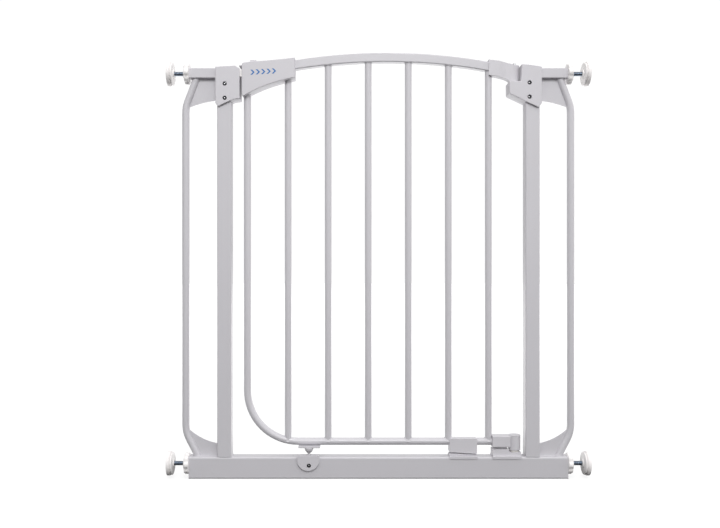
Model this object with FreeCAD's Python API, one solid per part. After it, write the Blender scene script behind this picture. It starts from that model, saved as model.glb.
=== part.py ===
import FreeCAD, Part
import math
import os

# Pressure-mounted baby gate with an arched, lift-and-swing door.
# Millimetres, +Z up, front towards -Y, origin at the middle of the bottom bar's underside.

V = FreeCAD.Vector

# ---- fixed frame ----
FRAME_END = 332.0          # half length of the bottom bar, and where the top stubs are cut off
BAR_HEIGHT = 38.5
BAR_DEPTH = 25.0
UPRIGHT_X = 271.0
UPRIGHT_SIZE = 25.0
UPRIGHT_TOP = 719.5
STUB_SIZE = 18.0
TUBE_WALL = 1.5
STUB_Z = 714.0             # axis of the two top spindles
FOOT_Z = 25.0              # axis of the two bottom spindles
LOOP_X = 340.65            # side loop, centre of its vertical run
LOOP_TOP_X = 322.0
LOOP_FOOT_X = 319.1
LOOP_TOP_KNEE_Z = 655.6
LOOP_FOOT_KNEE_Z = 80.3
LOOP_RADIUS = 6.35
LOOP_BEND = 60.0
LOOP_WALL = 1.2
GUSSET_SHEET = 2.0

# ---- door ----
GATE_HEIGHT = 750.0
ARCH_RADIUS = 1016.0
ARCH_X = 16.0              # where the arch is highest
RAIL_SIZE = 16.0
RAIL_WALL = 1.2
RAIL_LEFT = -238.0
RAIL_RIGHT = 213.0
END_TUBE_X = -231.5
END_TUBE_BEND = 90.0
LOW_RAIL_Z = 63.75
LOW_RAIL_RIGHT = 226.0
DOOR_TUBE_RADIUS = 6.35
DOOR_TUBE_WALL = 1.2
DOOR_BAR_RADIUS = 6.0
DOOR_BAR_FIRST_X = -159.5
DOOR_BAR_PITCH = 70.9
DOOR_BAR_COUNT = 6

# ---- hinge ----
HINGE_X = 241.0
HINGE_PIN_RADIUS = 3.0
BUSH_RADIUS = 4.5
RUNNING_CLEARANCE = 0.05
BARREL_RADIUS = 10.4
LOWER_PIN_FOOT = 40.0
SKIRT_THICKNESS = 1.4
SKIRT_LOW = 35.0
HINGE_HALF_DEPTH = 10.0

# ---- plastic housings and handle ----
HOUSING_HALF_DEPTH = 17.0
HANDLE_HALF_DEPTH = 16.0
SHELL = 2.2
FIT_GAP = 0.1
SCREW_HEAD_RADIUS = 3.2
SCREW_HEAD_HEIGHT = 2.2
SCREW_SHANK_RADIUS = 1.75
SCREW_LENGTH = 13.0
SCREW_SINK = 1.6
SCREW_SEAT_GAP = 0.6

# ---- latch ----
BOLT_LOW = 707.0
BOLT_HIGH = 719.0
BOLT_FRONT = -13.6
BOLT_BACK = -8.8
BOLT_TIP = -252.0
BOLT_RIGHT = -196.0
BUTTON_LEFT = -226.0
BUTTON_LENGTH = 12.5
LATCH_TRAVEL = 9.0

# ---- wall fixings ----
PLUG_FLANGE = 1.5
PLUG_DEPTH = 15.0
SPINDLE_RADIUS = 4.0
SPINDLE_LENGTH = 62.0
PAD_FACE = 372.0
RUBBER_THICKNESS = 5.0
RUBBER_RADIUS = 21.25
CUP_RADIUS = 20.0
CUP_THICKNESS = 4.6
PAD_HUB_RADIUS = 8.0
PAD_HUB_LENGTH = 1.9
NUT_RADIUS = 18.75
NUT_DISC = 8.4
NUT_HUB_RADIUS = 10.5
NUT_HUB = 2.0
NUT_LOBES = 8
NUT_SCALLOP_RADIUS = 5.0


def box(x0, x1, y0, y1, z0, z1):
    """A block between two corners."""
    return Part.makeBox(x1 - x0, y1 - y0, z1 - z0, V(x0, y0, z0))


def rod(radius, start, end):
    """A round bar from start to end."""
    axis = end - start
    return Part.makeCylinder(radius, axis.Length, start, axis)


def edges_along(solid, axis):
    """The straight edges of a solid that run along one axis."""
    found = []
    for edge in solid.Edges:
        if isinstance(edge.Curve, Part.Line) and abs(edge.Curve.Direction.dot(axis)) > 0.999:
            found.append(edge)
    return found


def rounded_box(x0, x1, y0, y1, z0, z1, axis, radius):
    """A block whose four edges along one axis are rounded."""
    block = box(x0, x1, y0, y1, z0, z1)
    return block.makeFillet(radius, edges_along(block, axis))


def profile(points, y0, y1):
    """A flat outline in X and Z, given depth along Y. A point of three values is an arc's middle."""
    edges = []
    corners = points + points[:1]
    index = 0
    while index < len(corners) - 1:
        start = V(corners[index][0], y0, corners[index][1])
        if len(corners[index + 1]) == 3:
            middle = V(corners[index + 1][0], y0, corners[index + 1][1])
            end = V(corners[index + 2][0], y0, corners[index + 2][1])
            edges.append(Part.Arc(start, middle, end).toShape())
            index += 2
        else:
            end = V(corners[index + 1][0], y0, corners[index + 1][1])
            edges.append(Part.LineSegment(start, end).toShape())
            index += 1
    return Part.Face(Part.Wire(edges)).extrude(V(0, y1 - y0, 0))


def soften_face(solid, y, radius):
    """Rounds the outer rim of the flat face that lies at one Y."""
    rim = []
    for edge in solid.Edges:
        if abs(edge.BoundBox.YMin - y) < 1e-6 and abs(edge.BoundBox.YMax - y) < 1e-6:
            rim.append(edge)
    return solid.makeFillet(radius, rim)


def rounded_path(points, bend):
    """Straight runs joined by tangent arcs of one radius."""
    edges = []
    start = points[0]
    for before, corner, after in zip(points, points[1:], points[2:]):
        arriving = (corner - before).normalize()
        leaving = (after - corner).normalize()
        turn = arriving.getAngle(leaving)
        cut_back = bend * math.tan(turn / 2)
        arc_start = corner - arriving * cut_back
        arc_end = corner + leaving * cut_back
        inward = (leaving - arriving).normalize()
        centre = corner + inward * (bend / math.cos(turn / 2))
        arc_middle = centre - inward * bend
        edges.append(Part.LineSegment(start, arc_start).toShape())
        edges.append(Part.Arc(arc_start, arc_middle, arc_end).toShape())
        start = arc_end
    edges.append(Part.LineSegment(start, points[-1]).toShape())
    return Part.Wire(edges)


def bent_rod(points, bend, radius):
    """A round bar that follows a rounded path."""
    ring = Part.Wire([Part.makeCircle(radius, points[0], points[1] - points[0])])
    return rounded_path(points, bend).makePipeShell([ring], True, False)


def turned(outline, x, y):
    """A turned piece on a vertical axis, from (radius, height) points."""
    wire = Part.makePolygon([V(x + radius, y, height) for radius, height in outline + outline[:1]])
    return Part.Face(wire).revolve(V(x, y, 0), V(0, 0, 1), 360)


def mirrored(solid):
    """The same piece for the other side of the gate."""
    return solid.mirror(V(0, 0, 0), V(1, 0, 0))


def save(name, *solids):
    """Writes one named node, a group where it holds several like pieces."""
    shape = solids[0] if len(solids) == 1 else Part.makeCompound(list(solids))
    if not shape.isValid() or len(shape.Solids) != len(solids):
        print("CHECK", name, shape.isValid(), len(shape.Solids))
    shape.exportStep("parts/" + name + ".step")


# ---------------------------------------------------------------- frame tubes
def bottom_bar():
    x, y, wall = FRAME_END, BAR_DEPTH / 2, TUBE_WALL
    outer = rounded_box(-x, x, -y, y, 0, BAR_HEIGHT, V(1, 0, 0), 3.0)
    hollow = rounded_box(-x, x, wall - y, y - wall, wall, BAR_HEIGHT - wall, V(1, 0, 0), 1.5)
    return outer.cut(hollow)


def upright():
    half, wall = UPRIGHT_SIZE / 2, TUBE_WALL
    left, right = UPRIGHT_X - half, UPRIGHT_X + half
    z0, z1 = BAR_HEIGHT, UPRIGHT_TOP
    outer = rounded_box(left, right, -half, half, z0, z1, V(0, 0, 1), 2.2)
    hollow = rounded_box(left + wall, right - wall, wall - half, half - wall, z0, z1, V(0, 0, 1), 0.8)
    return outer.cut(hollow)


def top_stub():
    half, wall = STUB_SIZE / 2, TUBE_WALL
    x0, x1 = UPRIGHT_X + UPRIGHT_SIZE / 2, FRAME_END
    low, high = STUB_Z - half, STUB_Z + half
    outer = rounded_box(x0, x1, -half, half, low, high, V(1, 0, 0), 1.8)
    hollow = rounded_box(x0, x1, wall - half, half - wall, low + wall, high - wall, V(1, 0, 0), 0.6)
    return outer.cut(hollow)


def side_loop_path():
    """From inside the stub, out past the frame's end, and back to inside the bar's top."""
    lean_top = (LOOP_X - LOOP_TOP_X) / (STUB_Z - STUB_SIZE / 2 - LOOP_TOP_KNEE_Z)
    lean_foot = (LOOP_X - LOOP_FOOT_X) / (LOOP_FOOT_KNEE_Z - BAR_HEIGHT)
    run_on = 8.0
    return [
        V(LOOP_TOP_X - run_on * lean_top, 0, STUB_Z - STUB_SIZE / 2 + run_on),
        V(LOOP_X, 0, LOOP_TOP_KNEE_Z),
        V(LOOP_X, 0, LOOP_FOOT_KNEE_Z),
        V(LOOP_FOOT_X - run_on * lean_foot, 0, BAR_HEIGHT - run_on),
    ]


def side_loop(loop_rod):
    """The round tube itself, cut off flat at the stub and at the bar."""
    hollow = bent_rod(side_loop_path(), LOOP_BEND, LOOP_RADIUS - LOOP_WALL)
    between = box(280, 360, -10, 10, BAR_HEIGHT, STUB_Z - STUB_SIZE / 2)
    return loop_rod.cut(hollow).common(between)


def upper_gusset(loop_rod):
    """Sheet steel web in the frame's middle plane, from the upright and the stub to the loop."""
    inner, top = UPRIGHT_X + UPRIGHT_SIZE / 2, STUB_Z - STUB_SIZE / 2
    outline = [
        (inner, top), (inner, 667.0), (313.0, 661.8, 0), (338.0, 653.2), (340.0, 660.0), (322.0, top),
    ]
    return profile(outline, -GUSSET_SHEET / 2, GUSSET_SHEET / 2).cut(loop_rod)


def lower_gusset(loop_rod):
    inner = UPRIGHT_X + UPRIGHT_SIZE / 2
    outline = [
        (inner, BAR_HEIGHT), (inner, 60.0), (310.0, 68.6, 0), (336.0, 86.5), (338.0, 76.0),
        (319.0, BAR_HEIGHT),
    ]
    return profile(outline, -GUSSET_SHEET / 2, GUSSET_SHEET / 2).cut(loop_rod)


def end_plug(half_depth, low, high, spindle_z):
    """Plastic plug in a tube end, with a clearance hole for the spindle."""
    x, wall = FRAME_END, TUBE_WALL + FIT_GAP
    flange = rounded_box(x, x + PLUG_FLANGE, -half_depth, half_depth, low, high, V(1, 0, 0), 1.8)
    body = box(x - PLUG_DEPTH, x, wall - half_depth, half_depth - wall, low + wall, high - wall)
    body = body.makeFillet(1.6, edges_along(body, V(1, 0, 0)))
    hole = rod(SPINDLE_RADIUS + 0.4, V(x - 20, 0, spindle_z), V(x + 5, 0, spindle_z))
    return flange.fuse(body).cut(hole).removeSplitter()


# ---------------------------------------------------------------- housings
def screw(x, z, face_y, out):
    """A cross-head screw sunk in a face; out is -1 where the face looks forward, +1 where back."""
    top = face_y - out * SCREW_SINK
    under = top - out * SCREW_HEAD_HEIGHT
    head = rod(SCREW_HEAD_RADIUS, V(x, under, z), V(x, top, z))
    rim = []
    for edge in head.Edges:
        if abs(edge.BoundBox.YMin - top) < 1e-6 and abs(edge.BoundBox.YMax - top) < 1e-6:
            rim.append(edge)
    head = head.makeFillet(0.8, rim)
    shank = rod(SCREW_SHANK_RADIUS, V(x, under - out * SCREW_LENGTH, z), V(x, under, z))
    slot_y = sorted([top, top - out * 1.3])
    slot = box(x - 2.2, x + 2.2, slot_y[0], slot_y[1], z - 0.5, z + 0.5)
    cross = box(x - 0.5, x + 0.5, slot_y[0], slot_y[1], z - 2.2, z + 2.2)
    return head.fuse(shank).cut(slot).cut(cross)


def screw_seat(x, z, face_y, out):
    """The sunk seat and hole that a screw needs."""
    under = face_y - out * (SCREW_SINK + SCREW_HEAD_HEIGHT)
    seat = rod(SCREW_HEAD_RADIUS + SCREW_SEAT_GAP, V(x, under, z), V(x, face_y + out, z))
    hole = rod(SCREW_SHANK_RADIUS, V(x, under - out * SCREW_LENGTH, z), V(x, under, z))
    return seat.fuse(hole)


KEEPER_OUTLINE = [
    (-286.0, 723.4), (-251.0, 725.2), (-247.5, 722.8), (-243.5, 720.6),
    (-243.5, 667.5), (-256.0, 665.5), (-281.5, 653.5), (-286.0, 660.0),
]
KEEPER_SCREWS = [(-269.5, 693.5), (-269.5, 668.5)]
HINGE_OUTLINE = [
    (250.8, 727.8), (262.0, 727.2), (286.0, 723.8),
    (286.0, 659.5), (280.0, 652.0), (231.2, 675.2), (229.1, 677.6),
    (229.1, 697.8), (249.4, 697.8),
]
HINGE_SCREWS = [(264.5, 695.4), (264.5, 670.5)]


def upright_socket(side):
    """Room for the upright and the stub inside a housing."""
    half = UPRIGHT_SIZE / 2 + FIT_GAP
    stub = STUB_SIZE / 2 + FIT_GAP
    socket = box(UPRIGHT_X - half, UPRIGHT_X + half, -half, half, 600, UPRIGHT_TOP + FIT_GAP)
    window = box(UPRIGHT_X + half - 0.2, 300, -stub, stub, STUB_Z - stub, STUB_Z + 20)
    room = socket.fuse(window)
    return room if side > 0 else mirrored(room)


def housing(outline, side, room):
    """A two-part moulded housing clamped round an upright's top: front half, rear half."""
    depth = HOUSING_HALF_DEPTH
    block = profile(outline, -depth, depth)
    block = block.makeFillet(1.2, edges_along(block, V(0, 1, 0)))
    block = soften_face(soften_face(block, -depth, 1.2), depth, 1.2)
    block = block.cut(upright_socket(side)).cut(room)
    front = block.common(box(-400, 400, -depth, -0.1, 600, 800))
    rear = block.common(box(-400, 400, 0.1, depth, 600, 800))
    return front, rear


def keeper_room():
    """The space behind the keeper's face, and the slot that the latch tongue enters.

    The slot is open at the top, so the tongue still holds a lifted door shut.
    """
    chamber = box(-260, -246, -14.4, 14.4, 673, 718)
    slot = box(BOLT_TIP - 1.0, -240, -14.4, BOLT_BACK + 0.8, BOLT_LOW - 1.0, 740)
    return chamber.fuse(slot)


def hinge_room():
    """The hole for the upper hinge pin, and a hollow that keeps the nose's walls even."""
    hole = rod(HINGE_PIN_RADIUS, V(HINGE_X, 0, 680), V(HINGE_X, 0, 720))
    front = box(232, 255, -14, -5, 679, 694)
    return hole.fuse(front).fuse(front.mirror(V(0, 0, 0), V(0, 1, 0)))


# ---------------------------------------------------------------- hinge
def hinge_pin(low, high):
    pin = rod(HINGE_PIN_RADIUS, V(HINGE_X, 0, low), V(HINGE_X, 0, high))
    tip = [e for e in pin.Edges if abs(e.BoundBox.ZMin - high) < 1e-6]
    return pin.makeChamfer(0.8, tip)


def hinge_bush(low, high, flange, flange_radius):
    """Flanged nylon sleeve that turns and slides on the pin."""
    inner = HINGE_PIN_RADIUS + RUNNING_CLEARANCE
    outline = [(inner, low), (flange_radius, low), (flange_radius, low + flange),
               (BUSH_RADIUS, low + flange), (BUSH_RADIUS, high), (inner, high)]
    return turned(outline, HINGE_X, 0)


def upper_arm(rail_block, last_bar):
    """Moulded arm: a sleeve over the rail's right end that narrows to the hinge eye."""
    side_view = [
        (194.2, 710.0), (204.0, 710.0), (219.0, 706.5, 0), (232.0, 700.0), (HINGE_X, 700.0),
        (HINGE_X, 728.0), (234.0, 730.0), (222.0, 733.2), (213.0, 735.0), (194.2, 737.4),
    ]
    sleeve, neck = 10.5, 7.6
    body = profile(side_view, -sleeve, sleeve)
    plan = Part.makePolygon([
        V(194.2, -sleeve, 690), V(214.5, -sleeve, 690), V(223.0, -neck, 690), V(HINGE_X, -neck, 690),
        V(HINGE_X, neck, 690), V(223.0, neck, 690), V(214.5, sleeve, 690), V(194.2, sleeve, 690),
        V(194.2, -sleeve, 690)])
    body = body.common(Part.Face(plan).extrude(V(0, 0, 60)))
    eye = Part.makeCone(7.2, 8.4, 28.0, V(HINGE_X, 0, 700.0), V(0, 0, 1))
    bore = rod(BUSH_RADIUS + RUNNING_CLEARANCE, V(HINGE_X, 0, 690), V(HINGE_X, 0, 740))
    return body.fuse(eye).removeSplitter().cut(rail_block).cut(last_bar).cut(bore)


def lower_block(rail_rod, last_bar):
    """Moulded block on the bottom rail's end, with the hinge barrel."""
    depth = HINGE_HALF_DEPTH
    body = rounded_box(201.0, 232.0, -depth, depth, 54.9, 74.6, V(1, 0, 0), 1.5)
    web = box(231.0, HINGE_X, -7.0, 7.0, 56.0, 74.0)
    barrel = rod(BARREL_RADIUS, V(HINGE_X, 0, 49.6), V(HINGE_X, 0, 75.4))
    bore = rod(BUSH_RADIUS + RUNNING_CLEARANCE, V(HINGE_X, 0, 40), V(HINGE_X, 0, 71))
    return body.fuse(web).fuse(barrel).removeSplitter().cut(rail_rod).cut(last_bar).cut(bore)


def saddle(x0, x1, bar_block):
    """The skirt by which a moulding clips over the bar's two top edges."""
    depth = BAR_DEPTH / 2 + SKIRT_THICKNESS
    skirt = rounded_box(x0, x1, -depth, depth, SKIRT_LOW, BAR_HEIGHT + 1.5, V(1, 0, 0), 0.5)
    return skirt.cut(bar_block)


def hinge_base(bar_block):
    """Moulded shoe on the bottom bar that carries the lower pin, with its hold-open ramp."""
    outline = [(201.0, BAR_HEIGHT), (251.0, BAR_HEIGHT), (251.0, 46.2), (231.4, 46.2),
               (228.6, 51.5), (201.0, 51.5)]
    base = profile(outline, -HINGE_HALF_DEPTH, HINGE_HALF_DEPTH)
    base = base.fuse(saddle(201.0, 251.0, bar_block)).removeSplitter()
    hole = rod(HINGE_PIN_RADIUS, V(HINGE_X, 0, LOWER_PIN_FOOT), V(HINGE_X, 0, 60))
    return base.cut(hole)


# ---------------------------------------------------------------- door
def arch(inset):
    """The rail's square section swung along the arch, smaller all round by an inset."""
    half = RAIL_SIZE / 2 - inset
    high = GATE_HEIGHT - inset
    low = GATE_HEIGHT - RAIL_SIZE + inset
    corners = [V(ARCH_X, -half, low), V(ARCH_X, half, low), V(ARCH_X, half, high), V(ARCH_X, -half, high)]
    face = Part.Face(Part.makePolygon(corners + corners[:1]))
    pivot = V(ARCH_X, 0, GATE_HEIGHT - ARCH_RADIUS)
    face.rotate(pivot, V(0, 1, 0), -16)
    swung = face.revolve(pivot, V(0, 1, 0), 32)
    long_edges = [e for e in swung.Edges if isinstance(e.Curve, Part.Circle)]
    return swung.makeFillet(max(1.8 - inset, 0.5), long_edges)


def rail_limits():
    return box(RAIL_LEFT, RAIL_RIGHT, -30, 30, 600, 800)


def end_tube_path():
    return [V(END_TUBE_X, 0, 708.0), V(END_TUBE_X, 0, LOW_RAIL_Z), V(LOW_RAIL_RIGHT, 0, LOW_RAIL_Z)]


def bar_x(count):
    return DOOR_BAR_FIRST_X + count * DOOR_BAR_PITCH


def bar_room(count):
    """The space that one door bar takes, for the mouldings that it passes."""
    return rod(DOOR_BAR_RADIUS, V(bar_x(count), 0, LOW_RAIL_Z), V(bar_x(count), 0, UPRIGHT_TOP))


def door_bar(x, rail_block, rail_rod):
    """An upright bar, cut to the arch above and saddled on the round rail below."""
    rail_middle = GATE_HEIGHT - RAIL_SIZE / 2 - (x - ARCH_X) ** 2 / (2 * ARCH_RADIUS)
    low, high = V(x, 0, LOW_RAIL_Z), V(x, 0, rail_middle)
    solid = rod(DOOR_BAR_RADIUS, low, high).cut(rail_block).cut(rail_rod)
    return solid.cut(rod(DOOR_BAR_RADIUS - 1.0, low - V(0, 0, 20), high + V(0, 0, 20)))


HANDLE_SCREWS = [(-177.0, 705.6), (-210.0, 694.5)]


def handle_halves(rail_block, rail_rod):
    """The moulded handle round the door's top left corner: front shell, rear shell."""
    depth = HANDLE_HALF_DEPTH
    outline = [
        (-239.5, 728.6), (-237.8, 730.4), (-224.0, 732.6), (-186.0, 735.4, 0), (-147.0, 739.6),
        (-147.0, 704.4), (-193.5, 692.2, 0), (-236.6, 672.2), (-239.5, 673.8),
    ]
    block = profile(outline, -depth, depth)
    block = soften_face(soften_face(block, -depth, 1.1), depth, 1.1)
    inner = [
        (-237.3, 725.5), (-224.0, 729.8), (-186.0, 732.6, 0), (-149.2, 736.8),
        (-149.2, 706.8), (-193.0, 694.8, 0), (-234.6, 675.2), (-237.3, 676.0),
    ]
    cavity = profile(inner, SHELL - depth, depth - SHELL)
    lip = box(-244.6, -238.5, -14.0, 14.0, 724.9, 726.5)
    cavity = cavity.cut(handle_posts(4.2))
    block = block.fuse(lip).removeSplitter().cut(cavity).cut(rail_block).cut(rail_rod)
    tongue_slot = box(-241, -236, BOLT_FRONT - 0.4, BOLT_BACK + 0.4, BOLT_LOW - 0.5, BOLT_HIGH + 0.5)
    right = BUTTON_LEFT + BUTTON_LENGTH + LATCH_TRAVEL + 0.6
    button_slot = box(BUTTON_LEFT - 0.6, right, BOLT_FRONT - 0.4, -3.6, 722, 745)
    block = block.cut(tongue_slot).cut(button_slot).cut(bar_room(0))
    front = block.common(box(-300, -100, -depth, -0.1, 600, 800))
    rear = block.common(box(-300, -100, 0.1, depth, 600, 800))
    for x, z in HANDLE_SCREWS:
        rear = rear.cut(screw_seat(x, z, depth, 1))
        front = front.cut(screw_seat(x, z, depth, 1))
    return front, rear


def handle_posts(radius):
    """Screw posts that stay solid between the handle's two shells."""
    (x0, z0), (x1, z1) = HANDLE_SCREWS
    reach = HANDLE_HALF_DEPTH
    first = rod(radius, V(x0, -reach, z0), V(x0, reach, z0))
    return first.fuse(rod(radius, V(x1, -reach, z1), V(x1, reach, z1)))


def rest_tab(rail_rod, near_bar):
    """Moulded block clipped round the bottom rail; its slanted foot rides over the shoe."""
    outline = [(125.0, 46.4), (173.8, 43.4), (173.8, 69.6), (125.0, 69.6)]
    block = profile(outline, -8.4, 8.4)
    block = block.makeFillet(1.0, edges_along(block, V(0, 1, 0)))
    return block.cut(rail_rod).cut(near_bar)


def stop_shoe(bar_block):
    outline = [(125.0, BAR_HEIGHT), (173.8, BAR_HEIGHT), (173.8, 41.2), (125.0, 43.9)]
    return profile(outline, -5.0, 5.0).fuse(saddle(125.0, 173.8, bar_block)).removeSplitter()


# ---------------------------------------------------------------- bottom catch
CATCH_X = -122.0
CATCH_Y = -12.0


def catch_hole():
    """The hole that the door's pin drops into, through the block and the bar's top edge."""
    return rod(2.9, V(CATCH_X, CATCH_Y, 36.6), V(CATCH_X, CATCH_Y, 50))


def catch_block(bar_block):
    """D-shaped moulding hooked over the bar's front top edge."""
    outline = [
        (-143.0, 33.6), (-143.0, 40.6), (-141.0, 42.0), (-106.0, 42.0), (-104.0, 40.6), (-104.0, 33.6),
        (-123.5, 14.4, 0),
    ]
    block = profile(outline, -16.0, -6.0)
    block = soften_face(block, -16.0, 1.0)
    return block.cut(bar_block).cut(catch_hole()).cut(screw_seat(CATCH_X, 24.0, -16.0, -1))


def pin_bracket():
    plate = rounded_box(-140.4, -102.5, -18.0, 6.0, 55.4, 57.4, V(0, 0, 1), 2.0)
    return plate


def catch_pin():
    outline = [(0, 55.4), (7.6, 55.4), (7.6, 53.4), (6.7, 50.6), (4.6, 47.6), (2.3, 45.9),
               (2.3, 38.6), (1.7, 37.8), (0, 37.8)]
    return turned(outline, CATCH_X, CATCH_Y)


# ---------------------------------------------------------------- latch
def latch_bolt():
    """Flat sliding bolt with a bevelled tongue at its left end."""
    plate = box(BOLT_TIP, BOLT_RIGHT, BOLT_FRONT, BOLT_BACK, BOLT_LOW, BOLT_HIGH)
    tip = [e for e in edges_along(plate, V(0, 0, 1)) if abs(e.BoundBox.XMin - BOLT_TIP) < 1e-6]
    plate = plate.makeChamfer(1.6, tip)
    return plate.cut(rod(2.8, V(BOLT_RIGHT - 6, -11.2, 713), V(BOLT_RIGHT + 1, -11.2, 713)))


def thumb_button():
    """Stem that stands on the bolt, and the grip that shows above the handle."""
    right = BUTTON_LEFT + BUTTON_LENGTH
    stem = box(BUTTON_LEFT + 1.5, right - 1.5, BOLT_FRONT, BOLT_BACK, BOLT_HIGH, 733.0)
    outline = [(BUTTON_LEFT, 732.7), (BUTTON_LEFT + 1.5, 735.6), (right - 1.0, 735.4), (right, 732.9)]
    grip = profile(outline, BOLT_FRONT, -4.2)
    return stem.fuse(grip).removeSplitter()


def latch_spring():
    """Compression spring between the bolt and the handle's stop post."""
    pitch, length, radius, wire = 3.2, 24.0, 2.1, 0.35
    helix = Part.makeHelix(pitch, length, radius)
    ring = Part.Wire([Part.makeCircle(wire, V(radius, 0, 0), V(0, 1, 0))])
    coil = Part.Wire(helix).makePipeShell([ring], True, True)
    coil.rotate(V(0, 0, 0), V(0, 1, 0), 90)
    coil.translate(V(BOLT_RIGHT - 5.6, -11.2, 713))
    return coil


# ---------------------------------------------------------------- wall fixings
def spindle(z):
    """M8 threaded rod; the flat end sits in the pad cup, the other end runs free in the tube."""
    x1 = PAD_FACE - RUBBER_THICKNESS - 1.5
    return rod(SPINDLE_RADIUS, V(x1 - SPINDLE_LENGTH, 0, z), V(x1, 0, z))


def pad_cup(z):
    x1 = PAD_FACE - RUBBER_THICKNESS
    x0 = x1 - CUP_THICKNESS
    groove_outer, groove_inner = x1 - 0.9, x1 - 2.1
    flange = rod(CUP_RADIUS, V(x0, 0, z), V(groove_inner, 0, z))
    neck = rod(CUP_RADIUS - 2.0, V(groove_inner, 0, z), V(groove_outer, 0, z))
    rim = rod(CUP_RADIUS, V(groove_outer, 0, z), V(x1, 0, z))
    hub = rod(PAD_HUB_RADIUS, V(x0 - PAD_HUB_LENGTH, 0, z), V(x0, 0, z))
    return flange.fuse(neck).fuse(rim).fuse(hub).removeSplitter().cut(spindle(z))


def pad_rubber(z):
    disc = rod(RUBBER_RADIUS, V(PAD_FACE - RUBBER_THICKNESS, 0, z), V(PAD_FACE, 0, z))
    rims = [e for e in disc.Edges if isinstance(e.Curve, Part.Circle)]
    return disc.makeFillet(1.2, rims)


def nut_wheel(z):
    """Lobed hand nut that pushes against the tube end."""
    x0 = FRAME_END + PLUG_FLANGE
    x1 = x0 + NUT_DISC
    disc = rod(NUT_RADIUS, V(x0, 0, z), V(x1, 0, z))
    disc = disc.makeFillet(1.5, [e for e in disc.Edges if isinstance(e.Curve, Part.Circle)])
    ring = NUT_RADIUS + NUT_SCALLOP_RADIUS * 0.62
    for lobe in range(NUT_LOBES):
        angle = 2 * math.pi * (lobe + 0.5) / NUT_LOBES
        y, h = ring * math.cos(angle), z + ring * math.sin(angle)
        disc = disc.cut(rod(NUT_SCALLOP_RADIUS, V(x0 - 1, y, h), V(x1 + 1, y, h)))
    hub = rod(NUT_HUB_RADIUS, V(x1 - 1, 0, z), V(x1 + NUT_HUB, 0, z))
    bore = rod(SPINDLE_RADIUS + RUNNING_CLEARANCE, V(x0 - 1, 0, z), V(x1 + 5, 0, z))
    return disc.fuse(hub).removeSplitter().cut(bore)


# ---------------------------------------------------------------- build
os.makedirs("parts", exist_ok=True)

loop_rod = bent_rod(side_loop_path(), LOOP_BEND, LOOP_RADIUS)
upper_web = upper_gusset(loop_rod)
lower_web = lower_gusset(loop_rod)
save("bottom_bar", bottom_bar().cut(screw_seat(CATCH_X, 24.0, -16.0, -1)).cut(catch_hole()))
save("right_top_stub", top_stub())
save("left_top_stub", mirrored(top_stub()))
save("right_side_loop", side_loop(loop_rod))
save("left_side_loop", mirrored(side_loop(loop_rod)))
save("right_upper_gusset", upper_web)
save("left_upper_gusset", mirrored(upper_web))
save("right_lower_gusset", lower_web)
save("left_lower_gusset", mirrored(lower_web))
foot_plug = end_plug(BAR_DEPTH / 2, 0, BAR_HEIGHT, FOOT_Z)
stub_plug = end_plug(STUB_SIZE / 2, STUB_Z - STUB_SIZE / 2, STUB_Z + STUB_SIZE / 2, STUB_Z)
save("tube_end_plugs", foot_plug, mirrored(foot_plug), stub_plug, mirrored(stub_plug))

right_upright, left_upright = upright(), mirrored(upright())
keeper_front, keeper_rear = housing(KEEPER_OUTLINE, -1, keeper_room())
hinge_front, hinge_rear = housing(HINGE_OUTLINE, 1, hinge_room())
screws = []
for x, z in KEEPER_SCREWS:
    keeper_front = keeper_front.cut(screw_seat(x, z, -HOUSING_HALF_DEPTH, -1))
    keeper_rear = keeper_rear.cut(screw_seat(x, z, HOUSING_HALF_DEPTH, 1))
    left_upright = left_upright.cut(screw_seat(x, z, -HOUSING_HALF_DEPTH, -1))
    left_upright = left_upright.cut(screw_seat(x, z, HOUSING_HALF_DEPTH, 1))
    screws += [screw(x, z, -HOUSING_HALF_DEPTH, -1), screw(x, z, HOUSING_HALF_DEPTH, 1)]
for x, z in HINGE_SCREWS:
    hinge_front = hinge_front.cut(screw_seat(x, z, -HOUSING_HALF_DEPTH, -1))
    hinge_rear = hinge_rear.cut(screw_seat(x, z, HOUSING_HALF_DEPTH, 1))
    right_upright = right_upright.cut(screw_seat(x, z, -HOUSING_HALF_DEPTH, -1))
    right_upright = right_upright.cut(screw_seat(x, z, HOUSING_HALF_DEPTH, 1))
    screws += [screw(x, z, -HOUSING_HALF_DEPTH, -1), screw(x, z, HOUSING_HALF_DEPTH, 1)]
save("right_upright", right_upright)
save("left_upright", left_upright)
save("keeper_front_cover", keeper_front.cut(mirrored(upper_web)))
save("keeper_rear_cover", keeper_rear.cut(mirrored(upper_web)))
save("hinge_front_cover", hinge_front.cut(upper_web))
save("hinge_rear_cover", hinge_rear.cut(upper_web))
save("cover_screws", *screws)

save("upper_hinge_pin", hinge_pin(680.0, 732.5))
save("lower_hinge_pin", hinge_pin(LOWER_PIN_FOOT, 66.0))
bar_block = box(-FRAME_END, FRAME_END, -BAR_DEPTH / 2, BAR_DEPTH / 2, 0, BAR_HEIGHT)
save("lower_hinge_base", hinge_base(bar_block))
save("stop_shoe", stop_shoe(bar_block))
save("catch_block", catch_block(bar_block))
save("catch_screw", screw(CATCH_X, 24.0, -16.0, -1))

save("upper_hinge_bush", hinge_bush(697.8, 727.5, 2.2, 6.6))
save("lower_hinge_bush", hinge_bush(46.2, 69.0, 3.4, 7.6))

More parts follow.
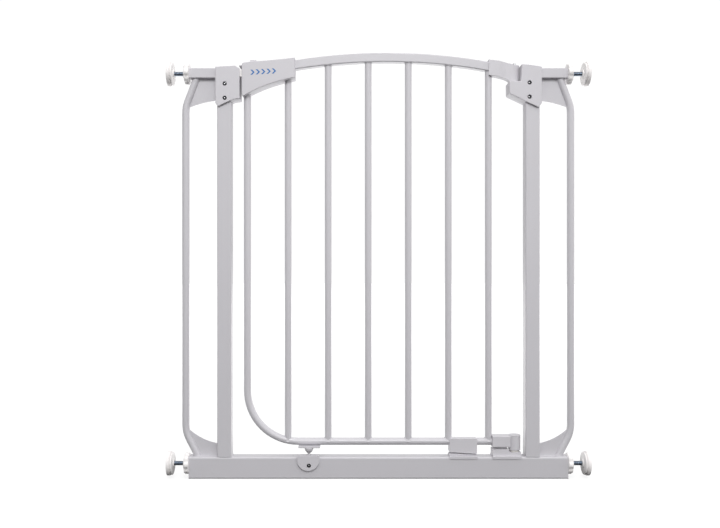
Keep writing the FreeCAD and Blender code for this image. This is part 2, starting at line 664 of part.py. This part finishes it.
rail_block = arch(0).common(rail_limits())
end_rod = bent_rod(end_tube_path(), END_TUBE_BEND, DOOR_TUBE_RADIUS)
end_hollow = bent_rod(end_tube_path(), END_TUBE_BEND, DOOR_TUBE_RADIUS - DOOR_TUBE_WALL)
save("top_rail", rail_block.cut(arch(RAIL_WALL)))
save("end_tube", end_rod.cut(end_hollow).cut(rail_block))
for count in range(DOOR_BAR_COUNT):
    save("door_bar_%d" % (count + 1), door_bar(bar_x(count), rail_block, end_rod))
handle_front, handle_rear = handle_halves(rail_block, end_rod)
save("handle_front_shell", handle_front)
save("handle_rear_shell", handle_rear)
save("handle_screws", *[screw(x, z, HANDLE_HALF_DEPTH, 1) for x, z in HANDLE_SCREWS])
last_bar = bar_room(DOOR_BAR_COUNT - 1)
save("upper_hinge_arm", upper_arm(rail_block, last_bar))
save("lower_hinge_block", lower_block(end_rod, last_bar))
save("rest_tab", rest_tab(end_rod, bar_room(DOOR_BAR_COUNT - 2)))
save("pin_bracket", pin_bracket())
save("catch_pin", catch_pin())

save("latch_bolt", latch_bolt())
save("thumb_button", thumb_button())
save("latch_spring", latch_spring())

for level, z in (("top", STUB_Z), ("bottom", FOOT_Z)):
    fixing = {
        "spindle": spindle(z), "pad_cup": pad_cup(z), "wall_pad": pad_rubber(z), "nut_wheel": nut_wheel(z),
    }
    for name, solid in fixing.items():
        save("right_%s_%s" % (level, name), solid)
        save("left_%s_%s" % (level, name), mirrored(solid))
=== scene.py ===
import math

import bmesh
import bpy
from mathutils import Matrix, Vector


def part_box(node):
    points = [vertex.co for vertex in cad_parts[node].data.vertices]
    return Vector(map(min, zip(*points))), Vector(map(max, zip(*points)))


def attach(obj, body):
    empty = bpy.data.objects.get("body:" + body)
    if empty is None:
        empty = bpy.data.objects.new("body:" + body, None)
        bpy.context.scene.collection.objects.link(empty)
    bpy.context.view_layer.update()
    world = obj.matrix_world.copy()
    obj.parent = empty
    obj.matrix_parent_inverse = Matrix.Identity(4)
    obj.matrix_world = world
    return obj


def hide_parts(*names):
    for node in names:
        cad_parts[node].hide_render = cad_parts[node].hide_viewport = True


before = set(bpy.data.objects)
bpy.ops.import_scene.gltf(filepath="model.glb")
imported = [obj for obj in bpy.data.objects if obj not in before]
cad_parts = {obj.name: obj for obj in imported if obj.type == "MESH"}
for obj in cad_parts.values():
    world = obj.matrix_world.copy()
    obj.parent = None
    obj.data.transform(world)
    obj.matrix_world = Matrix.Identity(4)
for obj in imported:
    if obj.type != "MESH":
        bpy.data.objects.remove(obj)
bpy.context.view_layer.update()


# ---- Bottom bar and uprights ------------------------------------------------------------------
# Cold-rolled rectangular and square steel tube, welded into a U and powder-coated in a very light
# warm grey. The coat has a fine orange-peel surface and lies a little thicker in some places.

class Field:
    """A value that changes over a surface. Arithmetic on it adds Math nodes."""

    def __init__(self, bench, socket):
        self.bench = bench
        self.socket = socket

    def maths(self, operation, first, second):
        made = self.bench.node("ShaderNodeMath", {"operation": operation}, {0: first, 1: second})
        return Field(self.bench, made.outputs[0])

    def __add__(self, other):
        return self.maths("ADD", self, other)

    def __radd__(self, other):
        return self.maths("ADD", other, self)

    def __sub__(self, other):
        return self.maths("SUBTRACT", self, other)

    def __rsub__(self, other):
        return self.maths("SUBTRACT", other, self)

    def __mul__(self, other):
        return self.maths("MULTIPLY", self, other)

    def __rmul__(self, other):
        return self.maths("MULTIPLY", other, self)

    def __gt__(self, other):
        return self.maths("GREATER_THAN", self, other)


class Bench:
    """A node tree, and the one way that nodes are added to it."""

    def __init__(self, tree):
        self.tree = tree

    def node(self, kind, settings, sockets):
        made = self.tree.nodes.new(kind)
        for key, value in settings.items():
            setattr(made, key, value)
        for key, value in sockets.items():
            self.feed(made.inputs[key], value)
        return made

    def feed(self, socket, value):
        if isinstance(value, Field):
            self.tree.links.new(value.socket, socket)
        else:
            socket.default_value = value


class Finish(Bench):
    """One material, mixed from nodes on the object's own coordinates."""

    def __init__(self, name):
        self.material = bpy.data.materials.new(name)
        self.material.use_nodes = True
        super().__init__(self.material.node_tree)
        self.shader = self.tree.nodes["Principled BSDF"]
        self.place = Field(self, self.node("ShaderNodeTexCoord", {}, {}).outputs["Object"])

    def noise(self, scale, detail=2.0, stretch=(1, 1, 1)):
        laid = self.node("ShaderNodeMapping", {}, {"Vector": self.place, "Scale": stretch})
        made = self.node("ShaderNodeTexNoise", {}, {
            "Vector": Field(self, laid.outputs[0]), "Scale": scale, "Detail": detail})
        return Field(self, made.outputs["Fac"])

    def blend(self, amount, first, second):
        made = self.node("ShaderNodeMix", {"data_type": "RGBA"}, {
            "Factor": amount, "A": first, "B": second})
        return Field(self, made.outputs["Result"])

    def relief(self, height, depth):
        made = self.node("ShaderNodeBump", {}, {"Height": height, "Distance": depth, "Strength": 1.0})
        return Field(self, made.outputs["Normal"])

    def surface(self, **sockets):
        for key, value in sockets.items():
            self.feed(self.shader.inputs[key.replace("_", " ")], value)
        return self.material


def powder_coat(name, shade):
    """Satin polyester powder over steel: orange peel, slow drift in tone, a few fine scuffs."""
    coat = Finish(name)
    drift = coat.noise(7.0, 3.0)
    peel = coat.noise(700.0, 1.0)
    scuff = coat.noise(60.0, 5.0, (1, 1, 7)) > 0.72
    thin = [value * 0.95 for value in shade] + [1]
    rubbed = [value * 0.88 for value in shade] + [1]
    return coat.surface(
        Base_Color=coat.blend(scuff * 0.5, coat.blend(drift, list(shade) + [1], thin), rubbed),
        Roughness=0.30 + 0.10 * coat.noise(120.0) + 0.12 * scuff,
        Coat_Weight=0.20,
        Coat_Roughness=0.18,
        Normal=coat.relief(peel, 0.00004),
    )


def dress(material, *nodes):
    """Gives CAD nodes their finish."""
    for node in nodes:
        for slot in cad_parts[node].material_slots:
            slot.material = material


frame_coat = powder_coat("frame powder coat", (0.610, 0.597, 0.628))
dress(frame_coat, "bottom_bar", "left_upright", "right_upright", "left_top_stub", "right_top_stub")


# ---- Side loops and gusset plates --------------------------------------------------------------
# A round tube is bent and welded outside each upright, so that a child can't reach past the frame.
# Sheet gussets in the frame's middle plane stiffen its ends; all are coated with the frame.

dress(frame_coat, "left_side_loop", "right_side_loop", "left_upper_gusset", "right_upper_gusset",
      "left_lower_gusset", "right_lower_gusset")


# ---- Frame welds -------------------------------------------------------------------------------
# MIG beads, dressed little and painted over: round the loops' ends, along both faces of each
# gusset, and beside the uprights' feet.

MM = 0.001
BEAD = 1.1 * MM
RIPPLE = 0.14 * MM


def finished(name, shape, material, body, stands_for=()):
    """Closes a modelled shape into a piece that rides on its body."""
    bmesh.ops.remove_doubles(shape, verts=shape.verts, dist=0.002 * MM)
    bmesh.ops.recalc_face_normals(shape, faces=shape.faces)
    mesh = bpy.data.meshes.new(name)
    shape.to_mesh(mesh)
    shape.free()
    for face in mesh.polygons:
        face.use_smooth = True
    mesh.set_sharp_from_angle(angle=math.radians(38))
    mesh.materials.append(material)
    piece = bpy.data.objects.new(name, mesh)
    bpy.context.scene.collection.objects.link(piece)
    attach(piece, body)
    if stands_for:
        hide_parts(*stands_for)
    return piece


def ring_bead(shape, centre, radius, height, stretch=1.0):
    """A bead round a tube's end; height gives the seam's rise at an offset from the middle."""
    known = set(shape.verts)
    start = Matrix.Translation(centre + Vector((radius, 0, 0))) @ Matrix.Rotation(math.pi / 2, 4, "X")
    section = bmesh.ops.create_circle(shape, segments=8, radius=BEAD, matrix=start)["verts"]
    rims = list({edge for vert in section for edge in vert.link_edges})
    bmesh.ops.spin(shape, geom=section + rims, cent=centre, axis=(0, 0, 1), angle=2 * math.pi,
                   steps=72, use_merge=True)
    for vert in [v for v in shape.verts if v not in known]:
        offset = vert.co - centre
        outward = Vector((offset.x, offset.y, 0)).normalized()
        wave = RIPPLE * math.sin(24 * math.atan2(offset.y, offset.x))
        vert.co.x = centre.x + offset.x * stretch
        vert.co += outward * wave + Vector((0, 0, height(offset.x, offset.y)))


def straight_bead(shape, start, end):
    """A bead along a straight seam, with the ripples of a moving torch."""
    known = set(shape.verts)
    run = end - start
    turn = run.to_track_quat("Z", "Y").to_matrix().to_4x4()
    place = Matrix.Translation((start + end) / 2) @ turn
    bmesh.ops.create_cone(shape, cap_ends=True, segments=8, radius1=BEAD, radius2=BEAD,
                          depth=run.length, matrix=place)
    fresh = [v for v in shape.verts if v not in known]
    along = run.normalized()
    long_edges = [e for e in {e for v in fresh for e in v.link_edges}
                  if abs((e.verts[0].co - e.verts[1].co).normalized().dot(along)) > 0.99]
    bmesh.ops.subdivide_edges(shape, edges=long_edges, cuts=int(run.length / (0.8 * MM)),
                              use_grid_fill=True)
    for vert in [v for v in shape.verts if v not in known]:
        travelled = (vert.co - start).dot(along)
        out = (vert.co - start - along * travelled).normalized()
        vert.co += out * RIPPLE * math.sin(travelled / MM * 2.4)


def flat_seam(x, y):
    """A seam on a flat face doesn't rise."""
    return 0.0


LOOP_SEAM = 6.6 * MM
LOOP_TOP_X = 0.3226
LOOP_FOOT_X = 0.3203
TOP_OVAL = 1.04
FOOT_OVAL = 1.11
UPRIGHT_SEAM_HALF = 0.010
PLATE_FACE = 1.4 * MM
LOWER_PLATE_TOP = 0.0595
UPPER_PLATE_RISE = 0.014
BAR_SEAM_END = 0.313
STUB_SEAM_END = 0.315
frame_welds = bmesh.new()
bar_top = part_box("bottom_bar")[1].z
stub_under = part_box("right_top_stub")[0].z
for side, name in ((-1, "left"), (1, "right")):
    upright_low, upright_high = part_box(name + "_upright")
    plate_low, plate_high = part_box(name + "_lower_gusset")
    upper_plate_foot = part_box(name + "_upper_gusset")[0].z + UPPER_PLATE_RISE
    ring_bead(frame_welds, Vector((side * LOOP_TOP_X, 0, stub_under)), LOOP_SEAM, flat_seam, TOP_OVAL)
    ring_bead(frame_welds, Vector((side * LOOP_FOOT_X, 0, bar_top)), LOOP_SEAM, flat_seam, FOOT_OVAL)
    for x in (upright_low.x, upright_high.x):
        straight_bead(frame_welds, Vector((x, -UPRIGHT_SEAM_HALF, bar_top)),
                      Vector((x, UPRIGHT_SEAM_HALF, bar_top)))
    inner = side * min(abs(plate_low.x), abs(plate_high.x))
    for face in (-PLATE_FACE, PLATE_FACE):
        low_corner = Vector((inner, face, bar_top))
        high_corner = Vector((inner, face, stub_under))
        straight_bead(frame_welds, low_corner, Vector((inner, face, LOWER_PLATE_TOP)))
        straight_bead(frame_welds, Vector((inner, face, upper_plate_foot)), high_corner)
        straight_bead(frame_welds, low_corner, Vector((side * BAR_SEAM_END, face, bar_top)))
        straight_bead(frame_welds, high_corner, Vector((side * STUB_SEAM_END, face, stub_under)))
finished("frame_welds", frame_welds, frame_coat, "frame")


# ---- End plugs ---------------------------------------------------------------------------------
# Injection-moulded polypropylene caps pushed into the open tube ends. Each has the hole that
# guides a spindle.

def moulded(name, shade, roughness=0.42, grain=0.00002):
    """Moulded plastic with a fine spark-eroded grain and faint flow marks."""
    plastic = Finish(name)
    flow = plastic.noise(26.0, 3.0, (1, 1, 0.35))
    grit = plastic.noise(1500.0, 2.0)
    cooler = [value * 0.96 for value in shade] + [1]
    return plastic.surface(
        Base_Color=plastic.blend(flow, list(shade) + [1], cooler),
        Roughness=(roughness - 0.05) + 0.10 * grit,
        Specular_IOR_Level=0.45,
        Normal=plastic.relief(grit, grain),
    )


grey_moulding = moulded("pale grey moulding", (0.628, 0.613, 0.645), 0.44, 0.00003)
dress(grey_moulding, "tube_end_plugs")


# ---- Keeper and hinge housings -----------------------------------------------------------------
# Two-part polypropylene covers clamped round the uprights' tops. The left pair holds the slot for
# the latch tongue, the right pair carries the upper hinge pin.

dress(grey_moulding, "keeper_front_cover", "keeper_rear_cover", "hinge_front_cover", "hinge_rear_cover")


# ---- Screws ------------------------------------------------------------------------------------
# Black-zinc cross-head self-tapping screws, sunk well below the covers' faces. Each head carries a
# small bright steel dome a little left of its middle, which is a painted highlight.

def plated(name, shade, roughness):
    """Drawn or turned steel with a thin bright plating."""
    steel = Finish(name)
    wear = steel.noise(420.0, 4.0)
    dull = [value * 0.80 for value in shade] + [1]
    return steel.surface(
        Base_Color=steel.blend(wear, list(shade) + [1], dull),
        Metallic=1.0,
        Roughness=roughness + 0.12 * wear,
    )


black_zinc = plated("black zinc", (0.045, 0.045, 0.05), 0.22)
dress(black_zinc, "cover_screws", "catch_screw", "handle_screws")

# Painted highlight: a bright polished steel colour for the little domes on the dark screw heads.
screw_painted_highlight = plated("screw painted highlight steel", (0.78, 0.78, 0.80), 0.14)
highlight_domes = bmesh.new()
HIGHLIGHT_RADIUS = 1.25 * MM
HIGHLIGHT_FLATNESS = 0.30
HIGHLIGHT_ASIDE = 0.3 * MM
HIGHLIGHT_SINK = 0.05 * MM
SAME_SCREW = 8 * MM


def painted_highlight_dome(shape, screw_x, screw_z, top_y, out):
    """A low bright dome on a screw's head, set a little to the left, which is a painted highlight; out
    is the way that the head looks.
    """
    known = set(shape.verts)
    bmesh.ops.create_uvsphere(shape, u_segments=24, v_segments=12, radius=HIGHLIGHT_RADIUS)
    fresh = [v for v in shape.verts if v not in known]
    bmesh.ops.scale(shape, vec=(1, HIGHLIGHT_FLATNESS, 1), verts=fresh)
    place = (screw_x - HIGHLIGHT_ASIDE, top_y - out * HIGHLIGHT_SINK, screw_z)
    bmesh.ops.translate(shape, vec=place, verts=fresh)


def screw_places(node):
    """Each screw's axis and outer end in a node that holds several."""
    points = [v.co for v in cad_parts[node].data.vertices]
    found = {}
    for point in points:
        for (x, z, out), reach in found.items():
            if math.hypot(point.x - x, point.z - z) < SAME_SCREW and point.y * out > 0:
                found[(x, z, out)] = reach + [point]
                break
        else:
            found[(point.x, point.z, math.copysign(1, point.y))] = [point]
    for (_, _, out), reach in found.items():
        x = (min(p.x for p in reach) + max(p.x for p in reach)) / 2
        z = (min(p.z for p in reach) + max(p.z for p in reach)) / 2
        yield x, z, max((p.y for p in reach), key=lambda y: y * out), out


# Puts a painted highlight dome on every cover and catch screw.
for node in ("cover_screws", "catch_screw"):
    for screw_x, screw_z, top_y, out in screw_places(node):
        painted_highlight_dome(highlight_domes, screw_x, screw_z, top_y, out)
finished("screw_painted_highlights", highlight_domes, screw_painted_highlight, "frame")


# ---- Hinge pins, sleeves, base and shoe --------------------------------------------------------
# Plain 6 mm steel pins in flanged nylon sleeves. The lower pin stands in a moulded base on the
# bottom bar; the shoe beside it lifts the closed door level.

dress(plated("bright pin steel", (0.66, 0.66, 0.68), 0.18), "upper_hinge_pin", "lower_hinge_pin")
dress(moulded("natural nylon", (0.80, 0.78, 0.74), 0.35), "upper_hinge_bush", "lower_hinge_bush")
dress(grey_moulding, "lower_hinge_base", "stop_shoe")


# ---- Bottom catch ------------------------------------------------------------------------------
# A D-shaped moulding screwed over the bar's front edge. The door's pin drops into its hole.

dress(grey_moulding, "catch_block")


# ---- Door rails and bars -----------------------------------------------------------------------
# Arched square top rail, a round tube bent into the closing side and bottom rail, and six round
# bars between them, welded and powder-coated as one piece.

door_coat = powder_coat("door powder coat", (0.620, 0.607, 0.638))
BARS = ["door_bar_%d" % count for count in range(1, 7)]
dress(door_coat, "top_rail", "end_tube", *BARS)


# ---- Door welds --------------------------------------------------------------------------------
# One bead round each bar's saddle on the bottom rail, and one under the arch for each of the four
# middle bars.

RAIL_RADIUS = 6.35 * MM
ARCH_RADIUS = 1.016
ARCH_X = 0.016
ARCH_TUBE = 16 * MM
SADDLE_SEAM = 6.1 * MM
ARCH_SEAM = 6.3 * MM
door_welds = bmesh.new()
arch_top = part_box("top_rail")[1].z
rail_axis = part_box("end_tube")[0].z + RAIL_RADIUS


def saddle(x, y):
    """Height of the round rail's surface over its axis."""
    return math.sqrt(max(RAIL_RADIUS ** 2 - y ** 2, 0))


for bar in BARS:
    low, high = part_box(bar)
    x = (low.x + high.x) / 2
    lean = (x - ARCH_X) / ARCH_RADIUS
    ring_bead(door_welds, Vector((x, 0, rail_axis)), SADDLE_SEAM, saddle)
    if bar not in (BARS[0], BARS[-1]):
        underside = arch_top - ARCH_TUBE - (x - ARCH_X) ** 2 / (2 * ARCH_RADIUS)
        ring_bead(door_welds, Vector((x, 0, underside)), ARCH_SEAM, lambda dx, dy: -lean * dx)
finished("door_welds", door_welds, door_coat, "door")


# ---- Hinge arm, hinge block and rest tab -------------------------------------------------------
# Glass-filled polypropylene mouldings pushed over the rails' ends, and a clip-on tab.

dress(grey_moulding, "upper_hinge_arm", "lower_hinge_block", "rest_tab")


# ---- Catch pin ---------------------------------------------------------------------------------
# A sheet bracket welded under the bottom rail holds a tapered plastic plug with a round pin.

dress(door_coat, "pin_bracket")
white_moulding = moulded("white moulding", (0.93, 0.905, 0.90), 0.30, 0.00001)
dress(grey_moulding, "catch_pin")


# ---- Handle ------------------------------------------------------------------------------------
# Two polypropylene shells screwed together from the back round the door's top corner. Five small
# raised chevrons in blue ink show which way the latch slides.

dress(grey_moulding, "handle_front_shell", "handle_rear_shell")

CHEVRON_TALL = 9.0 * MM
CHEVRON_STEP = 9.4 * MM
CHEVRON_STROKE = 3.2 * MM
CHEVRON_CLIMB = 0.55 * MM
CHEVRON_COUNT = 5
FIRST_CHEVRON_IN = 0.020
FIRST_CHEVRON_Z = 0.7135
INK_SINK = 0.1 * MM
INK_THICKNESS = 0.25 * MM
handle_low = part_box("handle_front_shell")[0]
first_chevron = Vector((handle_low.x + FIRST_CHEVRON_IN, handle_low.y, FIRST_CHEVRON_Z))
chevrons = bmesh.new()
for count in range(CHEVRON_COUNT):
    left, z = first_chevron.x + count * CHEVRON_STEP, first_chevron.z + count * CHEVRON_CLIMB
    half, point = CHEVRON_TALL / 2, CHEVRON_TALL / 2
    corners = [(left, z + half), (left + CHEVRON_STROKE, z + half), (left + CHEVRON_STROKE + point, z),
               (left + CHEVRON_STROKE, z - half), (left, z - half), (left + point, z)]
    outline = chevrons.faces.new([chevrons.verts.new((x, first_chevron.y + INK_SINK, height))
                                  for x, height in corners])
    raised = bmesh.ops.extrude_face_region(chevrons, geom=[outline])["geom"]
    bmesh.ops.translate(chevrons, vec=(0, -INK_THICKNESS, 0),
                        verts=[part for part in raised if isinstance(part, bmesh.types.BMVert)])
blue_ink = moulded("blue ink", (0.03, 0.17, 0.46), 0.38, 0.00001)
finished("slide_chevrons", chevrons, blue_ink, "door")


# ---- Latch -------------------------------------------------------------------------------------
# A flat acetal bolt with a ribbed thumb button that stands above the handle, and its return spring.

dress(white_moulding, "latch_bolt")
dress(grey_moulding, "thumb_button")
dress(plated("spring wire", (0.62, 0.62, 0.64), 0.22), "latch_spring")

button_low, button_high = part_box("thumb_button")
ribs = bmesh.new()
RIB_COUNT = 5
RIB_STEP = 1.8 * MM
RIB_RADIUS = 0.45 * MM
RIB_LENGTH = 8.4 * MM
RIB_SINK = 0.15 * MM
first_rib_x = button_low.x + 2.6 * MM
for count in range(RIB_COUNT):
    across = Matrix.Translation((first_rib_x + count * RIB_STEP, (button_low.y + button_high.y) / 2,
                                 button_high.z - RIB_SINK))
    bmesh.ops.create_cone(ribs, cap_ends=True, segments=16, radius1=RIB_RADIUS, radius2=RIB_RADIUS,
                          depth=RIB_LENGTH, matrix=across @ Matrix.Rotation(math.pi / 2, 4, "X"))
finished("button_ribs", ribs, grey_moulding, "latch")


# ---- Threaded spindles -------------------------------------------------------------------------
# M8 rods with a rolled thread of 1.25 mm pitch, oiled dark. One end sits in a pad's cup and the
# other runs free inside the tube.

PITCH = 1.25 * MM
CREST = 3.99 * MM
ROOT = 3.38 * MM
STEPS = 20
CORNERS = ["left_top", "right_top", "left_bottom", "right_bottom"]
dark_thread = plated("dark oiled steel", (0.34, 0.39, 0.46), 0.22)


def outline_edges(shape, points, closed):
    """A line of new points in the plane of X and Z, ready to be spun."""
    verts = [shape.verts.new((along, 0, out)) for along, out in points]
    pairs = list(zip(verts, verts[1:]))
    if closed:
        pairs.append((verts[-1], verts[0]))
    return verts + [shape.edges.new(pair) for pair in pairs]


for corner in CORNERS:
    low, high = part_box(corner + "_spindle")
    axis_z = (low.z + high.z) / 2
    turns = math.ceil((high.x - low.x) / PITCH) + 2
    rod = bmesh.new()
    ridge = [(0, ROOT), (0.42 * PITCH, CREST), (0.58 * PITCH, CREST), (PITCH, ROOT)]
    start = low.x - PITCH * 1.5
    spun = outline_edges(rod, [(start + along, out) for along, out in ridge], False)
    bmesh.ops.spin(rod, geom=spun, cent=(0, 0, 0), axis=(1, 0, 0), dvec=(PITCH / STEPS, 0, 0),
                   angle=2 * math.pi * turns, steps=STEPS * turns)
    bmesh.ops.remove_doubles(rod, verts=rod.verts, dist=0.01 * MM)
    for end_x, way in ((low.x, -1), (high.x, 1)):
        bmesh.ops.bisect_plane(rod, geom=rod.verts[:] + rod.edges[:] + rod.faces[:],
                               plane_co=(end_x, 0, 0), plane_no=(way, 0, 0), clear_outer=True)
    bmesh.ops.holes_fill(rod, edges=[edge for edge in rod.edges if edge.is_boundary], sides=0)
    bmesh.ops.translate(rod, vec=(0, 0, axis_z), verts=rod.verts)
    finished(corner + "_thread", rod, dark_thread, corner + "_spindle",
             [corner + "_spindle"])


# ---- Wall pads ---------------------------------------------------------------------------------
# A glossy white polypropylene cup on each spindle's end, and a ribbed soft rubber disc glued into
# it that grips the wall.

CUP_OUTLINE = [
    (0.0, 4.02), (0.0, 7.4), (1.9, 8.0), (1.9, 17.8), (2.7, 20.0), (4.5, 20.0), (4.5, 18.1),
    (5.5, 18.1), (5.5, 20.0), (6.5, 20.0), (6.5, 4.02),
]
RUBBER_OUTLINE = [
    (0.0, 0.0), (0.0, 21.25), (5.0, 21.25), (5.0, 19.0), (4.2, 18.6), (4.2, 16.0), (5.0, 15.6),
    (5.0, 13.2), (4.2, 12.8), (4.2, 10.2), (5.0, 9.8), (5.0, 7.4), (4.2, 7.0), (4.2, 0.0),
]
SEGMENTS = 96


def turned(outline, closed, rounding):
    """An outline of millimetre points turned about the X axis, with its sharp rims rounded."""
    shape = bmesh.new()
    spun = outline_edges(shape, [(along * MM, out * MM) for along, out in outline], closed)
    bmesh.ops.spin(shape, geom=spun, cent=(0, 0, 0), axis=(1, 0, 0), angle=2 * math.pi,
                   steps=SEGMENTS, use_merge=True)
    bmesh.ops.remove_doubles(shape, verts=shape.verts, dist=0.002 * MM)
    bmesh.ops.recalc_face_normals(shape, faces=shape.faces)
    rims = [edge for edge in shape.edges
            if len(edge.link_faces) == 2 and edge.calc_face_angle(0) > math.radians(50)]
    bmesh.ops.bevel(shape, geom=rims, offset=rounding, offset_type="OFFSET", affect="EDGES",
                    segments=3, profile=0.5, material=-1)
    return shape


def put(shape, side, start, axis_z):
    """Moves a shape turned at the origin out to its corner, mirrored on the left."""
    place = Matrix.Translation((side * start, 0, axis_z)) @ Matrix.Diagonal((side, 1, 1, 1))
    bmesh.ops.transform(shape, matrix=place, verts=shape.verts)


pad_rubber = moulded("white rubber", (0.93, 0.90, 0.895), 0.55, 0.00005)
for corner in CORNERS:
    side = -1 if corner.startswith("left") else 1
    cup_low, cup_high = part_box(corner + "_pad_cup")
    pad_low, pad_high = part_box(corner + "_wall_pad")
    axis_z = (cup_low.z + cup_high.z) / 2
    cup = turned(CUP_OUTLINE, True, 0.35 * MM)
    put(cup, side, min(abs(cup_low.x), abs(cup_high.x)), axis_z)
    finished(corner + "_cup", cup, white_moulding, corner + "_spindle",
             [corner + "_pad_cup"])
    rubber = turned(RUBBER_OUTLINE, False, 0.3 * MM)
    put(rubber, side, min(abs(pad_low.x), abs(pad_high.x)), axis_z)
    finished(corner + "_rubber", rubber, pad_rubber, corner + "_spindle",
             [corner + "_wall_pad"])


# ---- Hand nuts ---------------------------------------------------------------------------------
# Lobed white polypropylene wheels that screw along the spindles and press against the tube ends.

WHEEL_OUTLINE = [
    (0.0, 4.06), (0.0, 17.0), (0.9, 18.7), (7.5, 18.7), (8.4, 17.0), (8.4, 15.2), (7.2, 14.4),
    (7.2, 11.4), (8.4, 10.6), (10.4, 10.2), (10.4, 5.4), (9.4, 4.06),
]
LOBES = 8
LOBE_DEPTH = 1.9 * MM
LOBES_BEGIN = 13.5 * MM


def lobed(shape):
    """Draws the rim in between the lobes, and leaves the middle round."""
    reach = max(math.hypot(vert.co.y, vert.co.z) for vert in shape.verts)
    for vert in shape.verts:
        radius = math.hypot(vert.co.y, vert.co.z)
        angle = math.atan2(vert.co.z, vert.co.y)
        share = max(0.0, (radius - LOBES_BEGIN) / (reach - LOBES_BEGIN))
        hollow = (0.5 - 0.5 * math.cos(LOBES * angle)) ** 1.6
        scale = 1 - share * hollow * LOBE_DEPTH / radius
        vert.co.y *= scale
        vert.co.z *= scale


for corner in CORNERS:
    side = -1 if corner.startswith("left") else 1
    low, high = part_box(corner + "_nut_wheel")
    wheel = turned(WHEEL_OUTLINE, True, 0.5 * MM)
    lobed(wheel)
    put(wheel, side, min(abs(low.x), abs(high.x)), (low.z + high.z) / 2)
    finished(corner + "_hand_nut", wheel, white_moulding, corner + "_nut",
             [corner + "_nut_wheel"])


# ---- Studio ------------------------------------------------------------------------------------
# A white floor and a white surround that is brightest in front of the gate and to its right, as in
# a light tent, with one soft box in front and above and a black card on the left.

studio = bpy.context.scene
studio.view_settings.view_transform = "Standard"

floor = bmesh.new()
bmesh.ops.create_circle(floor, cap_ends=True, segments=64, radius=14.0)
floor_mesh = bpy.data.meshes.new("floor")
floor.to_mesh(floor_mesh)
floor.free()
ground = bpy.data.objects.new("floor", floor_mesh)
studio.collection.objects.link(ground)
paper = Finish("pale floor")
far = paper.node("ShaderNodeVectorMath", {"operation": "LENGTH"}, {0: paper.place})
whiten = paper.node("ShaderNodeMapRange", {}, {
    "Value": Field(paper, far.outputs["Value"]), "From Min": 0.8, "From Max": 2.6,
    "To Min": 0.80, "To Max": 1.02})
floor_mesh.materials.append(paper.surface(
    Base_Color=(0.22, 0.22, 0.22, 1), Roughness=0.9, Emission_Color=Field(paper, whiten.outputs[0]),
    Emission_Strength=1.0))
depth = paper.node("ShaderNodeSeparateXYZ", {}, {0: paper.place})
behind = paper.node("ShaderNodeMapRange", {}, {
    "Value": Field(paper, depth.outputs["Y"]), "From Min": 0.0, "From Max": 0.35,
    "To Min": 0.06, "To Max": 1.7})
tent = paper.node("ShaderNodeEmission", {}, {"Strength": Field(paper, behind.outputs[0])})
seen = paper.node("ShaderNodeLightPath", {}, {})
split = paper.node("ShaderNodeMixShader", {}, {
    "Fac": Field(paper, seen.outputs["Is Camera Ray"]),
    1: Field(paper, tent.outputs[0]),
    2: Field(paper, paper.shader.outputs[0])})
paper.feed(paper.tree.nodes["Material Output"].inputs["Surface"], Field(paper, split.outputs[0]))

world = bpy.data.worlds.new("surround")
studio.world = world
world.use_nodes = True
sky = Bench(world.node_tree)
BRIGHTEST = (0.26, -0.30, 0.0)
SURROUND = 0.96
BACKDROP = 1.05
BLACK_CARD = (-0.97, 0.25, 0.0)
CARD_EDGE = 0.70
CARD_DARKNESS = 1.8
looking = Field(sky, sky.node("ShaderNodeTexCoord", {}, {}).outputs["Generated"])


def turned_to(direction):
    """How far a ray into the surround points in one direction."""
    facing = sky.node("ShaderNodeVectorMath", {"operation": "DOT_PRODUCT"}, {0: looking, 1: direction})
    return Field(sky, facing.outputs["Value"])


past_edge = turned_to(BLACK_CARD) - CARD_EDGE
card = past_edge.maths("MAXIMUM", past_edge, 0.0)
shade = turned_to(BRIGHTEST) + SURROUND - CARD_DARKNESS * card
ray = sky.node("ShaderNodeLightPath", {}, {})
strength = sky.node("ShaderNodeMix", {}, {
    "Factor": Field(sky, ray.outputs["Is Camera Ray"]), "A": shade, "B": BACKDROP})
backdrop = sky.tree.nodes["Background"]
backdrop.inputs["Color"].default_value = (1, 1, 1, 1)
sky.feed(backdrop.inputs["Strength"], Field(sky, strength.outputs["Result"]))


def soft_light(name, size, watts, place, aim):
    """A square soft box at a place, turned to face a point."""
    lamp = bpy.data.lights.new(name, "AREA")
    lamp.size = size
    lamp.energy = watts
    box_light = bpy.data.objects.new(name, lamp)
    box_light.location = place
    box_light.rotation_euler = (Vector(aim) - Vector(place)).to_track_quat("-Z", "Y").to_euler()
    studio.collection.objects.link(box_light)


soft_light("key", 0.5, 22.0, (0.05, -2.0, 1.95), (0, 0, 0.2))

lens = bpy.data.cameras.new("camera")
lens.lens = 40.0
lens.shift_x = 1 / 60
viewer = bpy.data.objects.new("camera", lens)
viewer.location = (-0.0535, -1.417, 0.3776)
viewer.rotation_euler = (math.pi / 2, 0, 0)
studio.collection.objects.link(viewer)
studio.camera = viewer
